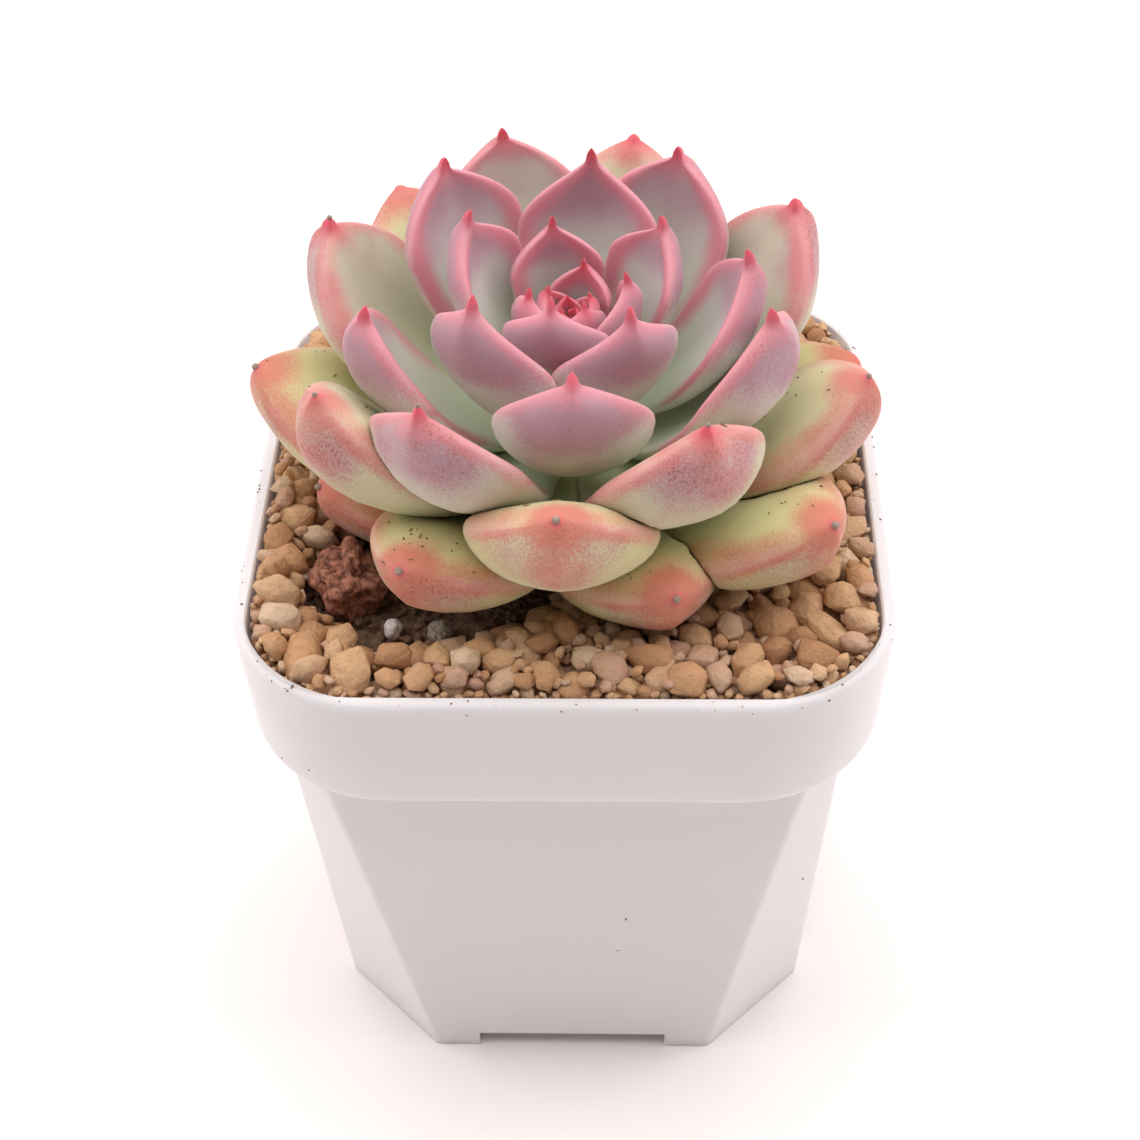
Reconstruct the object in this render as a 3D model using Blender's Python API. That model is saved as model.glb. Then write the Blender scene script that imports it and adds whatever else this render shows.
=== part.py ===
"""Potted rosette succulent: a square plastic pot with growing mix, gravel, a short stem and 44 leaves.

Metres, +Z up. The origin is on the table under the middle of the pot.
"""

import math

import bmesh
import bpy
from mathutils import Matrix, Vector, noise
from mathutils.bvhtree import BVHTree

MM = 0.001

# Pot, outside
POT_WIDTH = 70 * MM
POT_HEIGHT = 69 * MM
RIM_CORNER = 15.7 * MM
LIP_ROUND = 1.2 * MM
COLLAR_HEIGHT = 15.8 * MM
COLLAR_TAPER = 0.7 * MM
BODY_INSET = 4.95 * MM
FOOT_INSET = 6.65 * MM
BODY_CHAMFER = 3.8 * MM
FOOT_CHAMFER = 11.55 * MM
EDGE_ROUND = 1.2 * MM

# Pot, inside
RIM_WALL = 1.7 * MM
MOUTH_CORNER = 12.2 * MM
WALL = 1.5 * MM
FLOOR = 1.6 * MM

# Drainage under the pot: a cross of two channels, with a row of holes
CHANNEL_WIDTH = 22.9 * MM
CHANNEL_DEPTH = 2.6 * MM
HOLE_DIAMETER = 6 * MM
HOLE_SPACING = 16 * MM

# What fills the pot
CLEARANCE = 0.3 * MM
SOIL_BELOW_RIM = 5.0 * MM
GRAVEL_BELOW_RIM = 1.3 * MM
GRAVEL_BUMP = 0.7 * MM
GRAVEL_BUMP_SIZE = 3.2 * MM
GRAVEL_EDGE = 0.45  # its height at the bare patch, as a share of its full height
GRAVEL_RISE = 1.6

# Plant. Heights are counted up from the soil.
CENTRE = Vector((0.6 * MM, 1.9 * MM, 0))
STEM_ROOT_DEPTH = 5 * MM
STEM_RADIUS = 4.2 * MM
STEM_UNDER_LEAF = 1.3 * MM
STEM_TOP_LEAF = 8
LEAF_COUNT = 44
DIVERGENCE = math.radians(137.508)
FIRST_LEAF = math.radians(49)
THICKNESS = 1.0
WIDTH = 1.0
LOWEST_LEAF = 0.3 * MM

# Growth curves: (leaf number, value). Leaf 0 is the innermost.
REACH = ((0, 0.8), (3, 1.4), (7, 3.0), (12, 8.4), (18, 17.2), (25, 25.0), (31, 31.0), (36, 34.0), (43, 29.0))
RISE = ((0, 27.0), (3, 28.0), (7, 30.0), (12, 34.8), (18, 36.1), (25, 34.4), (31, 27.8), (36, 18.5), (43, 11.5))
BASE_RADIUS = ((0, 0.5), (5, 1.6), (12, 2.5), (20, 3.4), (30, 4.5), (43, 5.6))
BASE_RISE = ((0, 23.5), (5, 20.5), (12, 16.5), (20, 12.8), (30, 9.4), (43, 6.2))
HALF_WIDTH = ((0, 0.9), (4, 2.2), (7, 3.6), (12, 6.1), (16, 8.1), (20, 8.4), (28, 9.7), (33, 10.2), (43, 9.5))
HALF_THICK = ((0, 0.4), (7, 1.0), (12, 1.7), (20, 2.7), (28, 3.5), (33, 4.0), (43, 3.9))
BEND = ((0, 10), (12, 50), (20, 84), (28, 86), (33, 68), (38, 42), (43, 36))
CUSP = ((0, 0.70), (16, 0.68), (20, 0.55), (28, 0.48), (36, 0.43), (43, 0.43))
SPIKE = ((0, 0.3), (7, 0.9), (12, 1.6), (24, 1.7), (30, 0.8), (36, 0.2), (43, 0.2))

# A leaf's outline, as shares of its length and of its half width
SHORTEST_BLADE = 0.45
BLADE_LENGTH = 1.07
BASE_WIDTH = 0.2
SWELL = 1.7
SPIKE_WIDTH = 0.1

# A leaf's section, as shares of its half thickness
FULLEST = 0.7
BASE_THICK = 0.3
BASE_FILLING = 1.2  # powers that shape the thickness towards the base and towards the tip
TIP_FALL = 2.4
TIP_BLUNTNESS = 0.6
UPPER_RIM = 0.60
DISH = 0.42
UPPER_OLD = 0.95
FILLING_OUT = (22, 31)
UNDERSIDE = 1.3
KEEL = (0.55, 0.9)
KEEL_ROUND = 0.35
KEEL_SHARPNESS = 1.3
TIP_STOUTNESS = 1.8
WRAP = 0.9
TIP_CROWDING = 1.7

# Leaves that their neighbours push off the rule: turn in degrees, then reach and rise in millimetres
LEAN = {
    7: (8, 0, 0), 9: (9, 0, 0), 11: (-16, 0, 0), 13: (-8, 1, 0), 14: (-13, -0.5, 1.5),
    15: (-11, -0.5, -0.5), 16: (-7, 1, 1), 17: (4, -1.5, 1), 18: (-6, 1, -1), 19: (-5, 0, 1.5),
    20: (-7, 1, -1), 22: (8, 0, -2), 25: (-7, 2.5, -1), 31: (-7, 1, -3), 33: (2, -1.2, 1.6),
    36: (0, 1.5, -1), 37: (0, -2, 0), 38: (5, -0.5, -0.5), 41: (4, 0.5, -0.5),
}

# The bare patch in the gravel, in front at the left
HOLLOW = 14 * MM
HOLLOW_LOBE = 18.5 * MM
HOLLOW_TURN = math.radians(222)
HOLLOW_SPREAD = math.radians(65)

# Collision and print meshes stay light
CORNER_STEPS = 8
LEAF_SIDES = 10
LEAF_RINGS = 10
GRAVEL_SIDES = 60
GRAVEL_RINGS = 6
ROOM_ROUNDS = 25
ROOM_STEP = 0.6  # share of the missing room that a leaf gives up in one round
MOST_SHRINK = 0.3

SOIL_TOP = POT_HEIGHT - SOIL_BELOW_RIM
GRAVEL_TOP = POT_HEIGHT - GRAVEL_BELOW_RIM
COLLAR_FOOT = POT_HEIGHT - COLLAR_HEIGHT
LEDGE = COLLAR_FOOT + WALL
RIM_HALF = POT_WIDTH / 2
BODY_HALF = RIM_HALF - BODY_INSET
FOOT_HALF = RIM_HALF - FOOT_INSET
RIB_HEIGHT = CHANNEL_DEPTH + WALL


# ---------------------------------------------------------------- scene and helpers

def clear_scene():
    for obj in list(bpy.data.objects):
        bpy.data.objects.remove(obj, do_unlink=True)


def new_collection(name):
    collection = bpy.data.collections.new(name)
    bpy.context.scene.collection.children.link(collection)
    return collection


def new_material(name, colour, roughness):
    material = bpy.data.materials.new(name)
    material.use_nodes = True
    shader = material.node_tree.nodes["Principled BSDF"]
    shader.inputs["Base Color"].default_value = (*colour, 1)
    shader.inputs["Roughness"].default_value = roughness
    shader.inputs["Metallic"].default_value = 0
    return material


def new_object(name, bm, collection, material=None, smooth=math.radians(40)):
    bmesh.ops.recalc_face_normals(bm, faces=bm.faces)
    mesh = bpy.data.meshes.new(name)
    bm.to_mesh(mesh)
    bm.free()
    mesh.shade_smooth()
    mesh.set_sharp_from_angle(angle=smooth)
    obj = bpy.data.objects.new(name, mesh)
    collection.objects.link(obj)
    if material:
        mesh.materials.append(material)
    return obj


def new_cutter(name, bm):
    cutter = new_object(name, bm, cutters)
    cutter.hide_render = True
    cutter.display_type = "WIRE"
    return cutter


def add_boolean(obj, operation, other):
    modifier = obj.modifiers.new(f"{operation.title()} {other.name}", "BOOLEAN")
    modifier.operation = operation
    modifier.object = other


def cross_mesh(width, length, bottom, top):
    """Two bars that cross over the middle, as one closed mesh with the outline of a plus sign."""
    w, r = width / 2, length / 2
    arm = ((r, -w), (r, w), (w, w))
    outline = []
    for quarter in range(4):
        turn = Matrix.Rotation(math.pi / 2 * quarter, 2)
        outline += [turn @ Vector(corner) for corner in arm]
    bm = bmesh.new()
    loft(bm, [[Vector((x, y, z)) for x, y in outline] for z in (bottom, top)])
    return bm


def loft(bm, rings, closed=False):
    """Joins rings of equally many points. The ends get flat caps, or join each other if closed."""
    made = [[bm.verts.new(point) for point in ring] for ring in rings]
    pairs = list(zip(made, made[1:]))
    if closed:
        pairs.append((made[-1], made[0]))
    else:
        bm.faces.new(made[0])
        bm.faces.new(made[-1])
    for low, high in pairs:
        for i, vert in enumerate(low):
            j = (i + 1) % len(low)
            bm.faces.new((vert, low[j], high[j], high[i]))


# ---------------------------------------------------------------- square sections

def rounded_corner(half, radius):
    """The corner at +X +Y of a square with round corners, counter-clockwise."""
    angles = [math.pi / 2 * i / (CORNER_STEPS - 1) for i in range(CORNER_STEPS)]
    return [(half - radius + radius * math.cos(a), half - radius + radius * math.sin(a)) for a in angles]


def chamfered_corner(half, leg):
    """The corner at +X +Y of a square with its corners cut off and softened, counter-clockwise."""
    tangent = EDGE_ROUND * math.tan(math.pi / 8)
    near, far = half - EDGE_ROUND, half - leg - tangent
    steps = CORNER_STEPS // 2
    angles = [math.pi / 4 * i / (steps - 1) for i in range(steps)]
    first = [(near + EDGE_ROUND * math.cos(a), far + EDGE_ROUND * math.sin(a)) for a in angles]
    return first + [(y, x) for x, y in reversed(first)]


def ring_at(z, corner):
    ring = []
    for quarter in range(4):
        turn = Matrix.Rotation(math.pi / 2 * quarter, 3, "Z")
        ring += [turn @ Vector((x, y, z)) for x, y in corner]
    return ring


def inset_leg(leg, inset):
    """The chamfer's leg after its section has moved in by inset on all sides."""
    return leg - (2 - math.sqrt(2)) * inset


def body_ring(z, half, leg, inset=0.0):
    return ring_at(z, chamfered_corner(half - inset, inset_leg(leg, inset)))


def mouth_ring(z, inset=0.0):
    """The collar's inner wall at this height."""
    share = (z - LEDGE) / (POT_HEIGHT - LEDGE)
    half = RIM_HALF - RIM_WALL - COLLAR_TAPER * (1 - share)
    return ring_at(z, rounded_corner(half - inset, MOUTH_CORNER - inset))


def square_reach(angle, half, radius):
    """How far a ray from the middle goes to the edge of a square with round corners."""
    c, s = abs(math.cos(angle)), abs(math.sin(angle))
    straight = half / max(c, s)
    middle = half - radius
    if straight * min(c, s) <= middle:
        return straight
    towards = (c + s) * middle
    return towards + math.sqrt(towards ** 2 - (2 * middle ** 2 - radius ** 2))


# ---------------------------------------------------------------- pot

def make_pot():
    bm = bmesh.new()
    soft = LIP_ROUND * (1 - math.sqrt(0.5))
    loft(bm, [
        body_ring(0, FOOT_HALF, FOOT_CHAMFER),
        body_ring(COLLAR_FOOT, BODY_HALF, BODY_CHAMFER),
        ring_at(COLLAR_FOOT, rounded_corner(RIM_HALF - COLLAR_TAPER - LIP_ROUND, RIM_CORNER - LIP_ROUND)),
        ring_at(COLLAR_FOOT + LIP_ROUND, rounded_corner(RIM_HALF - COLLAR_TAPER, RIM_CORNER)),
        ring_at(POT_HEIGHT - LIP_ROUND, rounded_corner(RIM_HALF, RIM_CORNER)),
        ring_at(POT_HEIGHT - soft, rounded_corner(RIM_HALF - soft, RIM_CORNER - soft)),
        ring_at(POT_HEIGHT, rounded_corner(RIM_HALF - LIP_ROUND, RIM_CORNER - LIP_ROUND)),
        mouth_ring(POT_HEIGHT),
        mouth_ring(LEDGE),
        body_ring(LEDGE, BODY_HALF, BODY_CHAMFER, WALL),
        body_ring(FLOOR, FOOT_HALF, FOOT_CHAMFER, WALL),
    ])
    pot = new_object("pot", bm, parts, plastic)
    ribs = new_cutter("channel_ribs", cross_mesh(
        CHANNEL_WIDTH + 2 * WALL, 2 * FOOT_HALF - WALL, FLOOR / 2, RIB_HEIGHT))
    add_boolean(pot, "UNION", ribs)
    channels = new_cutter("channels", cross_mesh(CHANNEL_WIDTH, POT_WIDTH, -CHANNEL_DEPTH, CHANNEL_DEPTH))
    add_boolean(pot, "DIFFERENCE", channels)
    for i, (x, y) in enumerate(((0, 0), (1, 0), (0, 1), (-1, 0), (0, -1)), 1):
        hole = bmesh.new()
        place = Matrix.Translation((x * HOLE_SPACING, y * HOLE_SPACING, RIB_HEIGHT))
        bmesh.ops.create_cone(hole, cap_ends=True, segments=16, radius1=HOLE_DIAMETER / 2,
                              radius2=HOLE_DIAMETER / 2, depth=4 * WALL, matrix=place)
        add_boolean(pot, "DIFFERENCE", new_cutter(f"drain_hole_{i}", hole))


# ---------------------------------------------------------------- what fills it

def make_soil():
    bm = bmesh.new()
    shoulder = LEDGE + CLEARANCE
    loft(bm, [
        body_ring(FLOOR + CLEARANCE, FOOT_HALF, FOOT_CHAMFER, WALL + CLEARANCE),
        body_ring(shoulder, BODY_HALF, BODY_CHAMFER, WALL + CLEARANCE),
        mouth_ring(shoulder, CLEARANCE),
        mouth_ring(SOIL_TOP, CLEARANCE),
    ])
    soil = new_object("soil", bm, parts, earth)
    around_ribs = new_cutter("room_for_ribs", cross_mesh(
        CHANNEL_WIDTH + 2 * WALL + 2 * CLEARANCE, POT_WIDTH, 0, RIB_HEIGHT + CLEARANCE))
    add_boolean(soil, "DIFFERENCE", around_ribs)
    pocket = bmesh.new()
    radius = STEM_RADIUS + CLEARANCE
    depth = 2 * (STEM_ROOT_DEPTH + CLEARANCE)
    bmesh.ops.create_cone(pocket, cap_ends=True, segments=24, radius1=radius / math.cos(math.pi / 24),
                          radius2=radius / math.cos(math.pi / 24), depth=depth,
                          matrix=Matrix.Translation(CENTRE + Vector((0, 0, SOIL_TOP))))
    add_boolean(soil, "DIFFERENCE", new_cutter("room_for_stem", pocket))


def hollow_reach(angle):
    """How far the bare patch in the gravel reaches from the middle, in this direction."""
    off = (angle - HOLLOW_TURN + math.pi) % (2 * math.pi) - math.pi
    if abs(off) >= HOLLOW_SPREAD:
        return HOLLOW
    return HOLLOW + HOLLOW_LOBE * math.cos(math.pi / 2 * off / HOLLOW_SPREAD) ** 2


def make_gravel():
    bottom = SOIL_TOP + CLEARANCE
    share = (SOIL_TOP - LEDGE) / (POT_HEIGHT - LEDGE)
    half = RIM_HALF - RIM_WALL - COLLAR_TAPER * (1 - share) - CLEARANCE
    crown = GRAVEL_TOP - GRAVEL_BUMP
    rings = []
    for i in range(GRAVEL_RINGS + 2):
        top = i < GRAVEL_RINGS
        out = i / (GRAVEL_RINGS - 1) if top else float(i == GRAVEL_RINGS)
        ring = []
        for k in range(GRAVEL_SIDES):
            angle = 2 * math.pi * k / GRAVEL_SIDES
            near = hollow_reach(angle)
            reach = near + (square_reach(angle, half, MOUTH_CORNER - CLEARANCE) - near) * out
            point = Vector((reach * math.cos(angle), reach * math.sin(angle), bottom))
            if top:
                bump = noise.noise(Vector((point.x, point.y, 0)) / GRAVEL_BUMP_SIZE)
                slope = min(1.0, GRAVEL_EDGE + GRAVEL_RISE * out)
                point.z = bottom + (crown - bottom) * slope + GRAVEL_BUMP * bump
            ring.append(point)
        rings.append(ring)
    bm = bmesh.new()
    loft(bm, rings, closed=True)
    new_object("gravel_bed", bm, parts, clay_grit)


def make_lump(name, place, size, roughness, material):
    """A rough grain that lies on the soil."""
    bm = bmesh.new()
    bmesh.ops.create_icosphere(bm, subdivisions=2, radius=1)
    for vert in bm.verts:
        swell = 1 + roughness * noise.noise(vert.co * 1.3 + Vector((*place, 0)) / MM)
        vert.co = Vector([vert.co[i] * swell * size[i] / 2 for i in range(3)])
    lowest = min(vert.co.z for vert in bm.verts)
    lump = new_object(name, bm, parts, material)
    lump.location = (*place, SOIL_TOP + CLEARANCE - lowest)
    return lump


# ---------------------------------------------------------------- plant

def along(curve, n):
    """The growth curve at leaf n: a smooth line through the curve's points."""
    k = max(i for i in range(len(curve) - 1) if curve[i][0] <= n)
    (x1, y1), (x2, y2) = curve[k], curve[k + 1]

    def slope(i):
        low, high = curve[max(i - 1, 0)], curve[min(i + 1, len(curve) - 1)]
        return (high[1] - low[1]) / (high[0] - low[0])

    span = x2 - x1
    t = (n - x1) / span
    start, end = slope(k) * span, slope(k + 1) * span
    return (y1 * (2 * t ** 3 - 3 * t ** 2 + 1) + start * (t ** 3 - 2 * t ** 2 + t)
            + y2 * (3 * t ** 2 - 2 * t ** 3) + end * (t ** 3 - t ** 2))


def make_stem():
    """A short tapered stem, turned round its axis."""
    profile = [(0, along(BASE_RISE, STEM_TOP_LEAF) * MM)]
    for n in range(STEM_TOP_LEAF + 1, LEAF_COUNT, 5):
        profile.append((along(BASE_RADIUS, n) * MM - STEM_UNDER_LEAF, along(BASE_RISE, n) * MM))
    profile += [(STEM_RADIUS, 0), (STEM_RADIUS, -STEM_ROOT_DEPTH), (0, -STEM_ROOT_DEPTH)]
    bm = bmesh.new()
    verts = [bm.verts.new((r, 0, z)) for r, z in profile]
    for low, high in zip(verts, verts[1:]):
        bm.edges.new((low, high))
    bmesh.ops.spin(bm, geom=list(bm.verts) + list(bm.edges), cent=(0, 0, 0), axis=(0, 0, 1),
                   angle=2 * math.pi, steps=16, use_merge=True)
    bmesh.ops.remove_doubles(bm, verts=bm.verts, dist=0.1 * CLEARANCE)
    stem = new_object("stem", bm, parts, stem_bark)
    stem.location = CENTRE + Vector((0, 0, SOIL_TOP))
    return stem


def step(low, high, value):
    """A smooth step from 0 at low to 1 at high."""
    t = max(0.0, min(1.0, (value - low) / (high - low)))
    return t * t * (3 - 2 * t)


class Leaf:
    """One leaf's place and size, from its number in the spiral."""

    def __init__(self, n):
        turn, reach, rise = LEAN.get(n, (0, 0, 0))
        self.turn = FIRST_LEAF + DIVERGENCE * n + math.radians(turn)
        self.half_width = along(HALF_WIDTH, n) * WIDTH * MM
        self.half_thick = along(HALF_THICK, n) * THICKNESS * MM
        self.n = n
        self.cusp = along(CUSP, n)
        self.spike = along(SPIKE, n) * MM
        base = Vector((along(BASE_RADIUS, n), along(BASE_RISE, n))) * MM
        tip = Vector((along(REACH, n) + reach, along(RISE, n) + rise)) * MM
        chord = tip - base
        self.length = chord.length
        pitch = math.atan2(chord.y, chord.x)
        bend = math.radians(along(BEND, n)) / 2
        third = chord.length / 3
        low = base + third * Vector((math.cos(pitch - bend), math.sin(pitch - bend)))
        high = tip - third * Vector((math.cos(pitch + bend), math.sin(pitch + bend)))
        self.control = (base, low, high, tip)
        self.widest = 1 - min(SHORTEST_BLADE, BLADE_LENGTH * self.half_width / chord.length)
        self.roots = []

    def middle(self, s):
        """The leaf's middle line at s from 0, the base, to 1, the tip: (radius, rise) and its direction."""
        a, b, c, d = self.control
        t = 1 - s
        point = a * t ** 3 + b * 3 * t * t * s + c * 3 * t * s * s + d * s ** 3
        way = (b - a) * t * t + (c - b) * 2 * t * s + (d - c) * s * s
        return point, way.normalized()

    def half_width_at(self, s):
        if s > self.widest:
            left = (1 - s) * self.length
            body = max(0.0, (left - self.spike) / ((1 - self.widest) * self.length - self.spike))
            blade = ((1 - math.cos(math.pi * body)) / 2) ** self.cusp
            spike = SPIKE_WIDTH * (1 - math.exp(-2 * left / self.spike)) * (1 - body)
            return self.half_width * (blade + spike)
        swelling = math.sin(math.pi / 2 * s / self.widest) ** SWELL
        return self.half_width * (BASE_WIDTH + (1 - BASE_WIDTH) * swelling)

    def half_thick_at(self, s):
        if s > FULLEST:
            thick = self.half_thick * max(0.0, 1 - ((s - FULLEST) / (1 - FULLEST)) ** TIP_FALL) ** TIP_BLUNTNESS
        else:
            thick = self.half_thick * (BASE_THICK + (1 - BASE_THICK) * (s / FULLEST) ** BASE_FILLING)
        # Near its point a leaf is about as thick as it is wide.
        return thick * (1 - math.exp(-TIP_STOUTNESS * self.half_width_at(s) / max(thick, 0.01 * MM)))

    def spine(self, s):
        (radius, rise), _ = self.middle(s)
        return CENTRE + Vector((radius * math.cos(self.turn), radius * math.sin(self.turn), SOIL_TOP + rise))

    def place(self, s, angle):
        """The point on the leaf's skin at s, at this angle round its section. Angle 0 and pi are its edges."""
        (radius, rise), way = self.middle(s)
        across = math.cos(angle)
        side = self.half_width_at(s) * across
        bow = math.sqrt(max(0.0, 1 - across * across))
        if math.sin(angle) > 0:
            young = UPPER_RIM * math.sqrt(max(0.0, 1 - across ** 4)) - DISH * bow ** 2
            height = young + (UPPER_OLD * bow - young) * step(*FILLING_OUT, self.n)
        else:
            keeled = KEEL_ROUND * bow + (1 - KEEL_ROUND) * (1 - abs(across) ** KEEL_SHARPNESS)
            height = -UNDERSIDE * (bow + (keeled - bow) * step(*KEEL, s))
        up = self.half_thick_at(s) * height
        turn = self.turn + side / max(radius, WRAP * self.half_width)
        radius -= way.y * up
        rise += way.x * up
        return CENTRE + Vector((radius * math.cos(turn), radius * math.sin(turn), SOIL_TOP + rise))


def grow_leaf(n):
    """The skin of leaf n before it meets its neighbours, and the point of its middle line under each point."""
    leaf = Leaf(n)
    bm = bmesh.new()
    bmesh.ops.create_uvsphere(bm, u_segments=LEAF_SIDES, v_segments=LEAF_RINGS, radius=1)
    for vert in bm.verts:
        share = 1 - math.acos(max(-1.0, min(1.0, vert.co.z))) / math.pi
        s = 1 - (1 - share) ** TIP_CROWDING
        leaf.roots.append(leaf.spine(s))
        vert.co = leaf.place(s, math.atan2(vert.co.y, vert.co.x))
    bmesh.ops.recalc_face_normals(bm, faces=bm.faces)
    leaf.points = [vert.co.copy() for vert in bm.verts]
    leaf.faces = [tuple(vert.index for vert in face.verts) for face in bm.faces]
    bm.free()
    return leaf


def under_skin(point, tree):
    """Whether the point is inside the closed skin in tree: a ray from it then leaves an odd number of times."""
    way = Vector((0.36, 0.48, 0.8))
    crossings = 0
    near = tree.ray_cast(point, way)[0]
    while near is not None:
        crossings += 1
        near = tree.ray_cast(near + way * 0.001 * MM, way)[0]
    return crossings % 2 == 1


def too_near(point, tree):
    """How much this point lacks to be the clearance away from the skin in tree."""
    near, normal, _, distance = tree.find_nearest(point, 8 * MM)
    if near is None:
        return 0.0
    if (point - near).dot(normal) < 0 and under_skin(point, tree):
        distance = -distance
    return max(0.0, CLEARANCE - distance)


def make_room(leaf, trees):
    """Thins the leaf where it comes too near a neighbour, as leaves do that grow against each other."""
    lack = [0.0] * len(leaf.points)
    for corners in [(i,) for i in range(len(leaf.points))] + leaf.faces:
        middle = sum((leaf.points[i] for i in corners), Vector()) / len(corners)
        worst = max((too_near(middle, tree) for tree in trees), default=0.0)
        for i in corners:
            lack[i] = max(lack[i], worst)
    for i, amount in enumerate(lack):
        if amount > 0:
            inward = leaf.roots[i] - leaf.points[i]
            leaf.points[i] += inward.normalized() * min(inward.length * MOST_SHRINK, amount * ROOM_STEP)
    return sum(amount > 0 for amount in lack)


def bounds_of(points):
    low = [min(p[i] for p in points) - CLEARANCE for i in range(3)]
    high = [max(p[i] for p in points) + CLEARANCE for i in range(3)]
    return low, high


def meet(a, b):
    return all(a[0][i] < b[1][i] and b[0][i] < a[1][i] for i in range(3))


def make_leaves(neighbours):
    """Grows the leaves and lets those that touch make room for each other."""
    grown = [grow_leaf(n) for n in range(LEAF_COUNT)]
    fixed = []
    for obj in neighbours:
        bm = bmesh.new()
        bm.from_mesh(obj.data)
        bmesh.ops.translate(bm, vec=obj.location, verts=bm.verts)
        fixed.append((BVHTree.FromBMesh(bm), bounds_of([vert.co for vert in bm.verts])))
        bm.free()
    floor = GRAVEL_TOP + LOWEST_LEAF
    for _ in range(ROOM_ROUNDS):
        skins = [(BVHTree.FromPolygons(leaf.points, leaf.faces), bounds_of(leaf.points)) for leaf in grown]
        moved = 0
        for n, leaf in enumerate(grown):
            others = skins[:n] + skins[n + 1:] + fixed
            moved += make_room(leaf, [tree for tree, box in others if meet(box, skins[n][1])])
            for point in leaf.points:
                point.z = max(point.z, floor)
        if not moved:
            break
    rosette = bpy.data.objects.new("rosette", None)
    parts.objects.link(rosette)
    rosette.location = CENTRE + Vector((0, 0, SOIL_TOP))
    bpy.context.view_layer.update()
    for n, leaf in enumerate(grown):
        bm = bmesh.new()
        verts = [bm.verts.new(point) for point in leaf.points]
        for face in leaf.faces:
            bm.faces.new([verts[i] for i in face])
        base = Matrix.Rotation(leaf.turn, 4, "Z")
        bmesh.ops.transform(bm, matrix=base.inverted() @ rosette.matrix_world.inverted(), verts=bm.verts)
        obj = new_object(f"leaf_{n + 1:02d}", bm, parts, leaf_skin)
        obj.parent = rosette
        obj.rotation_euler.z = leaf.turn


clear_scene()
parts = new_collection("potted_succulent")
cutters = new_collection("cutters")
plastic = new_material("white_polypropylene", (0.84, 0.83, 0.84), 0.35)
earth = new_material("growing_mix", (0.035, 0.024, 0.018), 0.95)
clay_grit = new_material("baked_clay_grit", (0.47, 0.30, 0.16), 0.85)
lava = new_material("lava_rock", (0.16, 0.055, 0.035), 0.9)
perlite = new_material("perlite", (0.75, 0.73, 0.70), 0.8)
stem_bark = new_material("stem", (0.35, 0.37, 0.16), 0.7)
leaf_skin = new_material("waxy_leaf", (0.62, 0.42, 0.38), 0.5)

make_pot()
make_soil()
make_gravel()
lava_lump = make_lump("lava_lump", (-23.2 * MM, -15 * MM), (7.5 * MM, 9 * MM, 6.5 * MM), 0.35, lava)
make_lump("perlite_grain", (-18.2 * MM, -20.2 * MM), (2 * MM, 2.6 * MM, 2.2 * MM), 0.3, perlite)
make_lump("pumice_grain", (-13.1 * MM, -20.6 * MM), (2.7 * MM, 2.6 * MM, 2.5 * MM), 0.2, perlite)
make_leaves([make_stem(), lava_lump])
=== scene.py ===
# %% [markdown]
# # A potted rosette succulent
#
# A young echeveria in a small square plastic pot, top-dressed with baked clay grit. The CAD model gives the
# frame: where the pot stands, how big it is and which leaf is which. This notebook builds the surfaces that
# the eye sees, piece by piece: the moulded pot, the growing mix, two thousand granules and 44 fleshy leaves.

# %% Load the frame
import math
import random

import bmesh
import bpy
from mathutils import Matrix, Vector, noise
from mathutils.bvhtree import BVHTree


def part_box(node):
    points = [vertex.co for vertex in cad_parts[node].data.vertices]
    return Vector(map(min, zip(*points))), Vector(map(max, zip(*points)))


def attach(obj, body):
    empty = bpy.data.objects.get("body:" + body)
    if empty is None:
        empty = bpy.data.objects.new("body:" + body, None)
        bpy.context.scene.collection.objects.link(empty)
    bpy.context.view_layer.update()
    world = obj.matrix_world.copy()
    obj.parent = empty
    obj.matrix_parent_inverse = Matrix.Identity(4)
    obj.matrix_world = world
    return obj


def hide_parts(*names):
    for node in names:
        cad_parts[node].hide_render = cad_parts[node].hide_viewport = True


MM = 0.001
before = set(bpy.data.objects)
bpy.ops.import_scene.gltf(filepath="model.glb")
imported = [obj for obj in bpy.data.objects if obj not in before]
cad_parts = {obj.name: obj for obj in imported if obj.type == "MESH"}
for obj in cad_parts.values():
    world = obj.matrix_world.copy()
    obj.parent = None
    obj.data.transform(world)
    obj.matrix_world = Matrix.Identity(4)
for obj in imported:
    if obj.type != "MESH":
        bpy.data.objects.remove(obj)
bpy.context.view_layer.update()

# %% [markdown]
# ## Small helpers
#
# Colours are picked as sRGB hex values, the way a paint program shows them, but a shader works with linear
# light. One function converts them. Another adds a shader node with its settings and its links in one call,
# and both it and a finished material's shader take values and links alike.

# %% Colour and node helpers


def linear(hex_colour):
    """An sRGB hex colour as linear light."""
    shares = [int(hex_colour[i:i + 2], 16) / 255 for i in (1, 3, 5)]
    return tuple(c / 12.92 if c <= 0.04045 else ((c + 0.055) / 1.055) ** 2.4 for c in shares) + (1.0,)


def set_inputs(node, inputs):
    """Sets inputs, by the socket's name or number, to values, or links output sockets to them."""
    for name, value in inputs.items():
        if isinstance(value, bpy.types.NodeSocket):
            node.id_data.links.new(value, node.inputs[name])
        else:
            node.inputs[name].default_value = value


def add_node(material, kind, inputs=None, **settings):
    """Adds a node with its inputs and settings."""
    node = material.node_tree.nodes.new(kind)
    for name, value in settings.items():
        setattr(node, name, value)
    set_inputs(node, inputs or {})
    return node


def start_material(name):
    """A new material with its Principled shader."""
    material = bpy.data.materials.new(name)
    material.use_nodes = True
    return material, material.node_tree.nodes["Principled BSDF"]


# %% Mesh helpers


def new_object(name, data):
    made = bpy.data.objects.new(name, data)
    bpy.context.scene.collection.objects.link(made)
    return made


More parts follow.
